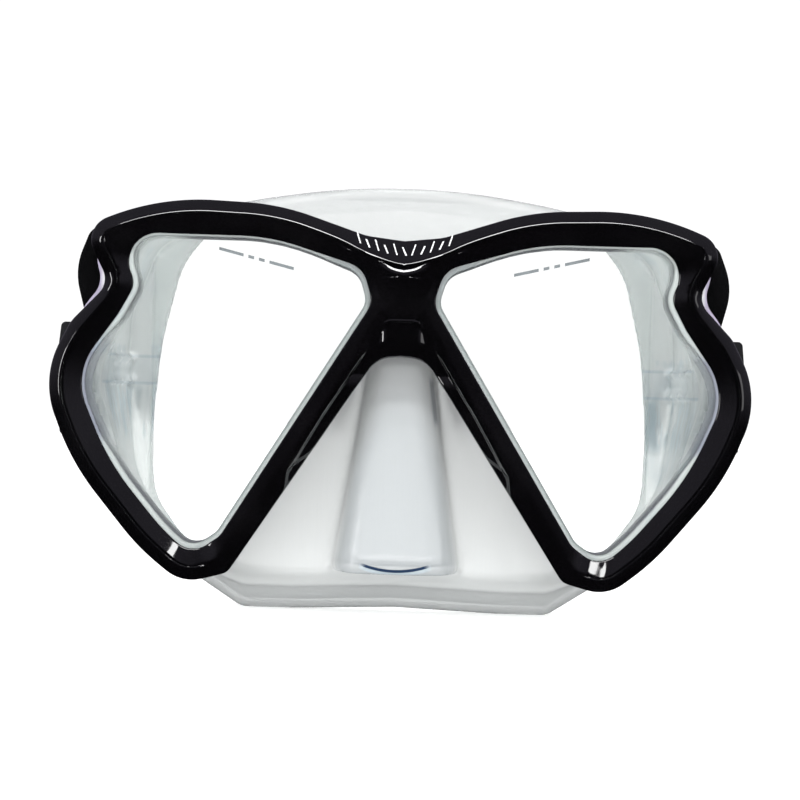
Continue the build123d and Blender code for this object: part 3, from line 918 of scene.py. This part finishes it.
@dataclass
class NoseTrim:
    """The gloss trim over the nose arch: a thin saddle that fills the dip in the front frame.

    Args:
        thickness: thickness of the trim.
        columns: grid columns from the middle line to the trim's outer tip.
        rows: grid rows from its upper edge to the nose opening.
    """

    thickness: float = 0.9
    columns: int = 90
    rows: int = 26

    @staticmethod
    def flank_bend(spots: np.ndarray) -> np.ndarray:
        """Return how far the arch's flanks bend back on either side of its flat middle."""
        past = smooth_union(4.1 - spots[:, 0], np.zeros(len(spots)), 0.8)
        reach = np.clip(-past, 0, 2.4)
        return 0.62 * reach * smooth_step(spots[:, 1], 2.0, 9.0)

    def build(self, front: FrontFrame) -> None:
        """Build the trim on the given front frame and seat it."""
        upper = rounded_path(TRIM_TOP, False)
        lower = rounded_path(FRAME_VEE[1:], False)[::-1]
        upper = at_share_open(upper, np.linspace(0, 1.0, self.columns))
        lower = at_share_open(lower, np.linspace(0, 0.50, self.columns))
        front_rows = []
        for part in np.linspace(0, 1, self.rows):
            spots = upper + (lower - upper) * part
            width = np.linalg.norm(lower - upper, axis=1)
            edge = np.clip(1 - part * width / 0.5, 0, 1)
            tip = np.clip(1 - np.linspace(self.columns, 0, self.columns) / 10.0, 0, 1)
            level = front.relief(spots) + front.arch_dip(spots) - self.thickness
            level = level + self.flank_bend(spots) + 0.5 * (1 - np.sqrt(1 - edge ** 2))
            level = level + self.thickness * tip ** 2
            front_rows.append(np.column_stack([spots[:, 0], FRAME_FRONT_Y + level, spots[:, 1]]))
        back_rows = [row + np.array([0, self.thickness + 0.25, 0]) for row in front_rows]
        rows = front_rows + back_rows[::-1]
        faces = []
        for row in range(len(rows)):
            after = (row + 1) % len(rows)
            for column in range(self.columns - 1):
                faces.append((row * self.columns + column, row * self.columns + column + 1,
                              after * self.columns + column + 1, after * self.columns + column))
        end = [row * self.columns + self.columns - 1 for row in range(len(rows))]
        faces.append(tuple(end))
        spots, faces = add_mirror(np.vstack(rows), faces)
        piece = make_piece("nose_trim_saddle", spots, faces, GLOSS_BLACK.material(), 35.0)
        seat(piece, Body.FRAME.value, Slot.FRAME_GLOSS, "nose_trim")


def at_share_open(path: np.ndarray, share: np.ndarray) -> np.ndarray:
    """Return the points of an open path at shares of its length."""
    steps = np.linalg.norm(np.diff(path, axis=0), axis=1)
    length = np.concatenate([[0], np.cumsum(steps)])
    target = share * length[-1]
    return np.column_stack([np.interp(target, length, path[:, axis]) for axis in range(2)])


@dataclass
class Skirt:
    """The clear silicone skirt, worked out as a distance field and meshed from it.

    Args:
        cell: size of the field's grid cells.
        wall: thickness of the body's wall.
        lip: thickness of the face seal.
        flange_back: how far the flange's back lies behind the lens.
        plate_y: front of the skirt's body.
        nose_wall: wall of the nose pocket.
        middle_y: depth at which the body follows its middle outline.
        front_y: depth of the flange's front face.
        rear_y: depth at which the seal is cut off.
        rib_height: height of the side rib's middle.
    """

    cell: float = 0.95
    wall: float = 2.3
    lip: float = 2.2
    flange_back: float = 3.0
    plate_y: float = -21.5
    nose_wall: float = 2.0
    middle_y: float = 5.0
    front_y: float = SKIRT_BOX[0][1] / MM
    rear_y: float = 40.0
    rib_height: float = 6.0

    def face_curve(self, across: np.ndarray) -> np.ndarray:
        """Return the depth at which the seal meets the face, for each place across."""
        inside = np.sqrt(np.clip(1 - (across / 76.0) ** 2, 0, 1))
        return np.minimum(72.0 - 66.0 * inside, self.rear_y - 0.05)

    def grid(self) -> tuple:
        """Return the field on one half of the mask, with its three axes."""
        x_axis = np.arange(0, 84.0, self.cell)
        y_axis = np.arange(self.front_y - 2.1, 43.0, self.cell)
        z_axis = np.arange(-56.0, 56.5, self.cell)
        plane = np.array(np.meshgrid(x_axis, z_axis, indexing="ij")).reshape(2, -1).T
        shape = (len(x_axis), 1, len(z_axis))

        def sheet(outline: list, closed: bool = False) -> np.ndarray:
            """Return an outline's signed distances over the grid."""
            ring = rounded_path(outline, True) if closed else mirrored_ring(outline)
            return ring_field(plane, ring).reshape(shape)

        front, middle, rear = sheet(SKIRT_FRONT), sheet(SKIRT_MIDDLE), sheet(SKIRT_REAR)
        lens, opening = sheet(LENS_OPENING, True), sheet(FACE_OPENING)
        x, y, z = x_axis[:, None, None], y_axis[None, :, None], z_axis[None, None, :]

        ahead = smooth_step(y, self.plate_y, self.middle_y - 2)
        behind = smooth_step(y, self.middle_y - 2, self.rear_y)
        body = front * (1 - ahead) + middle * ahead
        body = body * (1 - behind) + rear * behind
        curve = self.face_curve(x_axis)
        slope = np.gradient(curve, x_axis)
        seal = (y - curve[:, None, None]) / np.sqrt(1 + slope ** 2)[:, None, None]
        seal = np.maximum(seal, y - self.rear_y)

        outside = smooth_meet(smooth_meet(body, self.plate_y - y, 3.0), seal, 1.6)
        rib_gap = np.abs(z - self.rib_height)
        rib = 1.6 * smooth_step(4.0 - rib_gap, 0.0, 0.9) - 0.7 * smooth_step(2.6 - rib_gap, 0.0, 0.7)
        rib = rib * smooth_step(x, 56.0, 60.0) * smooth_step(y, 0.0, 3.0)
        inside = smooth_meet(body + self.wall + rib, self.plate_y + self.wall - y, 2.0)
        inside = smooth_meet(inside, seal + self.lip, 1.2)
        shell = smooth_meet(outside, -inside, 0.8)
        gap = smooth_meet(opening, -(seal + 9.0), 0.5)
        shell = smooth_meet(shell, -gap, 1.4)

        inset = 1.3 - 0.8 * smooth_step(z, 31.0, 36.0) - 0.6 * smooth_step(x, 69.0, 73.0)
        tube = smooth_meet(lens - 1.0, self.front_y - y, 0.8)
        tube = smooth_meet(tube, y - self.plate_y - self.wall, 0.5)
        flange = smooth_meet(lens - 3.4, self.front_y - y, 0.8)
        flange = smooth_meet(flange, y - self.front_y - self.flange_back, 0.8)
        shell = smooth_union(shell, smooth_union(tube, flange, 1.0), 1.2)

        pocket = self.pocket(x, y, z, 0.0)
        shell = smooth_union(shell, pocket, 2.0)
        hole = smooth_meet(lens + inset, y + 12.0, 0.5)
        shell = smooth_meet(shell, -hole, 0.8)
        hollow = smooth_meet(self.pocket(x, y, z, self.nose_wall), y + 12.0, 0.5)
        shell = smooth_meet(shell, -hollow, 0.8)
        return shell, x_axis, y_axis, z_axis

    def pocket(self, x: np.ndarray, y: np.ndarray, z: np.ndarray, inset: float) -> np.ndarray:
        """Return the nose pocket's field, taken in by inset; only the inner one runs on to the air space."""
        part = np.clip((9.0 - z) / 52.0, 0, 1)
        face = -27.0 - 10.5 * part
        narrow = 6.4 + 3.6 * part
        wide = 8.5 + 8.5 * part
        back = -19.1
        depth_part = np.clip((y - face) / (back - face), 0, 1)
        half = narrow + (wide - narrow) * np.sqrt(depth_part)
        crown = 1.2 * (1 - np.clip(np.abs(x) / narrow, 0, 1) ** 2)
        sides = smooth_meet(np.abs(x) - half + inset, face - crown + 1.2 + inset - y, 3.6)
        ends = smooth_meet(z - 11.2 + inset, -43.0 + inset - z, 1.0)
        box = smooth_meet(sides, ends, 2.5)
        return box if inset else smooth_meet(box, y - back, 0.5)

    def build(self) -> None:
        """Build the skirt and seat it."""
        half, x_axis, y_axis, z_axis = self.grid()
        values = np.concatenate([half[:0:-1], half])
        x_full = np.concatenate([-x_axis[:0:-1], x_axis])
        spots, faces = surface_net(values, x_full, y_axis, z_axis)
        piece = make_piece("skirt_moulding", spots, faces, SILICONE.material(), 75.0)
        seat(piece, Body.FRAME.value, Slot.SILICONE, "skirt")


def surface_net(values: np.ndarray, x_axis: np.ndarray, y_axis: np.ndarray, z_axis: np.ndarray) -> tuple:
    """Mesh the zero surface of a field on a regular grid.

    Args:
        values: the field, negative inside the material.
        x_axis: the grid's places across.
        y_axis: the grid's depths.
        z_axis: the grid's heights.

    Returns:
        The points, settled onto the surface, and the four-sided faces.
    """
    sign = values < 0
    corners = [(i, j, k) for i in (0, 1) for j in (0, 1) for k in (0, 1)]
    cells = tuple(size - 1 for size in values.shape)

    def shifted(array: np.ndarray, corner: tuple) -> np.ndarray:
        """Return the array's values at one corner of every cell."""
        i, j, k = corner
        return array[i:i + cells[0], j:j + cells[1], k:k + cells[2]]

    inside_count = sum(shifted(sign, corner).astype(np.int8) for corner in corners)
    active = (inside_count > 0) & (inside_count < 8)
    number = np.full(cells, -1)
    number[active] = np.arange(int(active.sum()))
    total = np.zeros((int(active.sum()), 3))
    weight = np.zeros(int(active.sum()))
    for first in corners:
        for axis in range(3):
            if first[axis]:
                continue
            second = tuple(1 if place == axis else step for place, step in enumerate(first))
            low, high = shifted(values, first)[active], shifted(values, second)[active]
            crosses = (low < 0) != (high < 0)
            share = low[crosses] / (low[crosses] - high[crosses])
            point = np.tile(np.array(first, float), (int(crosses.sum()), 1))
            point[:, axis] += share
            total[crosses] += point
            weight[crosses] += 1
    index = np.array(np.nonzero(active)).T
    local = total / weight[:, None]
    origin = np.array([x_axis[0], y_axis[0], z_axis[0]])
    pitch = np.array([axis[1] - axis[0] for axis in (x_axis, y_axis, z_axis)])
    spots = origin + (index + local) * pitch
    faces = []
    for axis in range(3):
        ahead = [slice(None)] * 3
        here = [slice(None)] * 3
        ahead[axis] = slice(1, None)
        here[axis] = slice(None, -1)
        crosses = sign[tuple(here)] != sign[tuple(ahead)]
        others = [place for place in range(3) if place != axis]
        edge = np.array(np.nonzero(crosses)).T
        fits = np.all([(edge[:, place] > 0) & (edge[:, place] < cells[place]) for place in others], axis=0)
        edge = edge[fits]
        ring = []
        for one, two in ((0, 0), (1, 0), (1, 1), (0, 1)):
            cell = edge.copy()
            cell[:, others[0]] -= one
            cell[:, others[1]] -= two
            ring.append(number[cell[:, 0], cell[:, 1], cell[:, 2]])
        faces.extend(np.array(ring).T.tolist())
    return settle(spots, values, origin, pitch), faces


def settle(spots: np.ndarray, values: np.ndarray, origin: np.ndarray, pitch: np.ndarray) -> np.ndarray:
    """Move spots along the field's slope onto its zero surface."""
    slopes = np.gradient(values, *pitch)

    def sample(array: np.ndarray, places: np.ndarray) -> np.ndarray:
        """Return the array's value between its grid points."""
        grid = (places - origin) / pitch
        low = np.clip(np.floor(grid).astype(int), 0, np.array(array.shape) - 2)
        part = np.clip(grid - low, 0, 1)
        result = np.zeros(len(places))
        for i in (0, 1):
            for j in (0, 1):
                for k in (0, 1):
                    share = np.prod([np.abs(1 - step - part[:, axis])
                                     for axis, step in enumerate((i, j, k))], axis=0)
                    result += share * array[low[:, 0] + i, low[:, 1] + j, low[:, 2] + k]
        return result

    settled = spots.copy()
    for _ in range(2):
        level = sample(values, settled)
        slope = np.array([sample(part, settled) for part in slopes]).T
        settled -= slope * (level / np.maximum((slope ** 2).sum(axis=1), 0.2))[:, None]
    return settled


@dataclass
class WaistBeads:
    """The pale rubber beads that show between the front and the rear frame at the waist.

    Args:
        back_y: depth of the bead's back, on the rear frame.
        proud: how far the bead stands up from it.
    """

    back_y: float = REAR_BOX[0][1] / MM
    proud: float = 0.7

    def build(self) -> None:
        """Build both beads and seat them."""
        outline = rounded_path(FRAME_BROW[-1:] + FRAME_SIDE[:2], False)
        inner = outline[(outline[:, 1] < 33.5) & (outline[:, 1] > 18.8)]
        inner = inner[np.argsort(-inner[:, 1])]
        part = np.linspace(0, 1, len(inner))
        swell = 1.9 * np.sin(math.pi * part) ** 0.7
        columns = 9
        rows = []
        for column in range(columns):
            share = column / (columns - 1)
            across = inner[:, 0] + swell * share + 0.05
            crown = np.sin(math.pi * np.clip(share * 0.5 + 0.5, 0, 1)) ** 0.6
            rise = self.proud * crown * np.minimum(1, swell)
            rows.append(np.column_stack([across, self.back_y - 0.02 - rise, inner[:, 1]]))
        under = [row * np.array([1, 0, 1]) + np.array([0, self.back_y - 0.005, 0]) for row in rows]
        ring = rows + under[::-1]
        count = len(inner)
        faces = []
        for row in range(len(ring)):
            after = (row + 1) % len(ring)
            for place in range(count - 1):
                faces.append((row * count + place, row * count + place + 1,
                              after * count + place + 1, after * count + place))
        spots = np.vstack(ring)
        for side, name in ((-1, "left"), (1, "right")):
            turned = spots * np.array([side, 1.0, 1.0])
            piece = make_piece(f"waist_bead_{name}", turned, faces, BEAD.material(), 40.0)
            seat(piece, Body.FRAME.value, Slot.SILICONE)


@dataclass
class Prints:
    """The pad-printed marks: slanted bars on the brow and dashes on the lenses.

    Args:
        lift: how far the ink stands off its surface.
        lens_y: depth of the lenses' front.
    """

    lift: float = 0.03
    lens_y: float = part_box("lens_right")[0][1] / MM

    def bar(self, corners: list, front: FrontFrame | None) -> tuple:
        """Return a four-cornered patch of ink.

        Args:
            corners: (across, up) of its corners in order.
            front: the frame on whose surface it lies, or None for the lens.

        Returns:
            The points and the faces.
        """
        cut = 6
        first, second, third, fourth = (np.array(corner, float) for corner in corners)
        spots = []
        for row in np.linspace(0, 1, cut + 1):
            left, right = first + (fourth - first) * row, second + (third - second) * row
            for column in np.linspace(0, 1, cut + 1):
                spots.append(left + (right - left) * column)
        flat = np.array(spots)
        level = self.lens_y + np.zeros(len(flat)) if front is None else FRAME_FRONT_Y + front.relief(flat)
        top = np.column_stack([flat[:, 0], level - self.lift, flat[:, 1]])
        under = top + np.array([0, self.lift * 1.6, 0])
        wide = cut + 1
        faces = [(row * wide + column, row * wide + column + 1, (row + 1) * wide + column + 1,
                  (row + 1) * wide + column) for row in range(cut) for column in range(cut)]
        low = [tuple(index + wide * wide for index in reversed(face)) for face in faces]
        edge = list(range(wide)) + [row * wide + cut for row in range(1, wide)]
        edge += [cut * wide + column for column in range(cut - 1, -1, -1)]
        edge += [row * wide for row in range(cut - 1, 0, -1)]
        walls = [(a, b, b + wide * wide, a + wide * wide) for a, b in zip(edge, edge[1:] + edge[:1])]
        return np.vstack([top, under]), faces + low + walls

    def build(self, front: FrontFrame) -> None:
        """Build every print and seat it."""
        parts = []
        for place in range(-5, 6):
            middle = place * 2.25
            low = 35.3 + 0.021 * middle ** 2
            half, high = (0.15, low + 2.8) if place % 2 else (0.19, low + 2.1)
            lean = 0.45 if place > 0 else -0.45
            parts.append(self.bar([(middle - half - lean, low), (middle + half - lean, low),
                                   (middle + half + lean, high), (middle - half + lean, high)], front))
        self._seat("brow_bars", parts, WHITE_INK.material(), Slot.FRAME_GLOSS)
        for side, name in ((-1, "left"), (1, "right")):
            dashes = []
            for start, end in ((27.0, 33.0), (34.2, 35.6), (36.8, 38.2), (39.4, 45.4)):
                slope = 0.24
                low = [(side * x, 31.0 + slope * (x - 27.0)) for x in (start, end)]
                high = [(spot[0], spot[1] + 0.75) for spot in (low[1], low[0])]
                dashes.append(self.bar([low[0], low[1], *high],
                                       None))
            self._seat(f"lens_dashes_{name}", dashes, GREY_INK.material(), Slot.LENS_GLASS)

    @staticmethod
    def _seat(name: str, parts: list, material: bpy.types.Material, slot: Slot) -> None:
        """Join patches into one piece on the frame."""
        spots: list = []
        faces: list = []
        for part_spots, part_faces in parts:
            shift = sum(len(block) for block in spots)
            spots.append(part_spots)
            faces.extend(tuple(index + shift for index in face) for face in part_faces)
        seat(make_piece(name, np.vstack(spots), faces, material, 30.0), Body.FRAME.value, slot)


@dataclass
class CarriedParts:
    """The nodes whose shape stays as modelled and that only get a finish."""

    def dress(self) -> None:
        """Give each carried-over node its finish."""
        steel, plastic = STEEL.material(), BUCKLE_BLACK.material()
        button, roller = BUTTON_GREY.material(), ROLLER_GREY.material()
        finishes = {"rear_frame": SATIN_BLACK.material(), "frame_screws": steel}
        glass = GLASS.material()
        for side in ("left", "right"):
            finishes[f"lens_{side}"] = glass
            for stem in ("bracket_screws", "pivot_pin", "roller_axle", "pawl_pin", "pawl_spring"):
                finishes[f"{stem}_{side}"] = steel
            for stem in ("buckle_bracket", "pivot_cap", "buckle_body"):
                finishes[f"{stem}_{side}"] = plastic
            for stem in ("pawl", "upper_button", "lower_button"):
                finishes[f"{stem}_{side}"] = button
            finishes[f"strap_roller_{side}"] = roller
        for name, material in finishes.items():
            node = bpy.data.objects[name]
            node.data.materials.clear()
            node.data.materials.append(material)
            LOG.info("%s keeps its shape and gets %s", name, material.name)


@dataclass
class Studio:
    """A white studio: pale floor, bright surroundings, soft lights and the camera.

    Args:
        distance: from the camera to the frame's front.
        view_width: width of the view at the frame's front.
        roll: the camera's roll in degrees.
        flank_light: brightness of the sides and top of the room in reflections.
    """

    distance: float = 0.850
    view_width: float = 0.1951
    roll: float = 1.75
    flank_light: float = 0.22

    def camera(self) -> None:
        """Add the camera straight in front of the frame's centre."""
        data = bpy.data.cameras.new("front_camera")
        data.sensor_width = 36.0
        data.lens = 36.0 * self.distance / self.view_width
        camera = bpy.data.objects.new("front_camera", data)
        place = Vector((0.0, FRAME_FRONT_Y * MM - self.distance, CENTRE_HEIGHT * MM))
        turn = Matrix.Rotation(math.radians(90), 4, "X") @ Matrix.Rotation(math.radians(self.roll), 4, "Z")
        camera.matrix_world = Matrix.Translation(place) @ turn
        bpy.context.scene.collection.objects.link(camera)
        bpy.context.scene.camera = camera

    def floor(self) -> None:
        """Add the pale floor."""
        book = NodeBook.for_material("pale_floor")
        grain = book.noise(book.place(), 12.0, 2.0)
        colour = book.blend(grain, rgba(0.93, 0.93, 0.93), rgba(0.96, 0.96, 0.96))
        shader = book.node("ShaderNodeBsdfPrincipled", {}, {
            "Base Color": colour, "Roughness": 0.9, "Emission Color": colour, "Emission Strength": 0.55})
        size = 6.0
        mesh = bpy.data.meshes.new("floor")
        corners = [(-size, -size, 0), (size, -size, 0), (size, size, 0), (-size, size, 0)]
        mesh.from_pydata(corners, [], [(0, 1, 2, 3)])
        mesh.materials.append(book.finish(shader))
        floor = bpy.data.objects.new("floor", mesh)
        floor.visible_glossy = False
        bpy.context.scene.collection.objects.link(floor)

    def surroundings(self) -> None:
        """Make the surroundings white to the eye, and dark with grey flanks in reflections."""
        book = NodeBook(bpy.data.worlds.new("studio"))
        bpy.context.scene.world = book.owner
        heading = book.node("ShaderNodeTexCoord", output="Generated")
        _, back, up = book.axes(heading)
        mirrored_path = book.node("ShaderNodeLightPath", output="Is Glossy Ray")
        white = book.node("ShaderNodeBackground", {}, {"Color": rgba(1.0, 1.0, 1.0), "Strength": 1.08})
        ahead = (0 - back).ramp(0.72, 0.93)
        flank = (1 - ahead) * up.ramp(-0.35, 0.25)
        grey = book.node("ShaderNodeBackground", {}, {
            "Color": rgba(0.86, 0.82, 1.0), "Strength": flank * self.flank_light + 0.002})
        mixed = book.node("ShaderNodeMixShader", {}, {0: mirrored_path, 1: white, 2: grey})
        book.finish(mixed, "ShaderNodeOutputWorld")

    def light(self, name: str, place: tuple, aim: tuple, size: tuple, watts: float) -> None:
        """Add one soft rectangular light.

        Args:
            name: its name.
            place: where it stands, in metres.
            aim: the point that it faces.
            size: its width and height.
            watts: its power.
        """
        data = bpy.data.lights.new(name, "AREA")
        data.shape = "RECTANGLE"
        data.size, data.size_y = size
        data.energy = watts
        lamp = bpy.data.objects.new(name, data)
        lamp.visible_camera = False
        lamp.visible_transmission = False
        direction = Vector(aim) - Vector(place)
        turn = direction.to_track_quat("-Z", "Y").to_matrix().to_4x4()
        lamp.matrix_world = Matrix.Translation(place) @ turn
        bpy.context.scene.collection.objects.link(lamp)

    def build(self) -> None:
        """Set up the whole studio."""
        bpy.context.scene.view_settings.view_transform = "Standard"
        self.camera()
        self.floor()
        self.surroundings()
        self.light("top_light", (0.0, -0.62, 0.78), (0.0, 0.0, 0.05), (0.8, 0.11), 6.0)
        self.light("left_light", (-0.80, -0.62, 0.16), (0.0, 0.0, 0.05), (0.12, 0.42), 1.7)
        self.light("right_light", (0.80, -0.45, 0.16), (0.0, 0.0, 0.05), (0.30, 0.34), 0.45)
        self.light("lobe_light", (0.29, -0.85, 0.60), (0.0, 0.0, 0.05), (0.16, 0.08), 0.6)


def main() -> None:
    """Build every piece in order."""
    logging.basicConfig(level=logging.INFO, format="%(name)s: %(message)s")
    Studio().build()
    front = FrontFrame()
    front.build()
    NoseTrim().build(front)
    Skirt().build()
    WaistBeads().build()
    Prints().build(front)
    CarriedParts().dress()


if __name__ == "__main__":
    main()
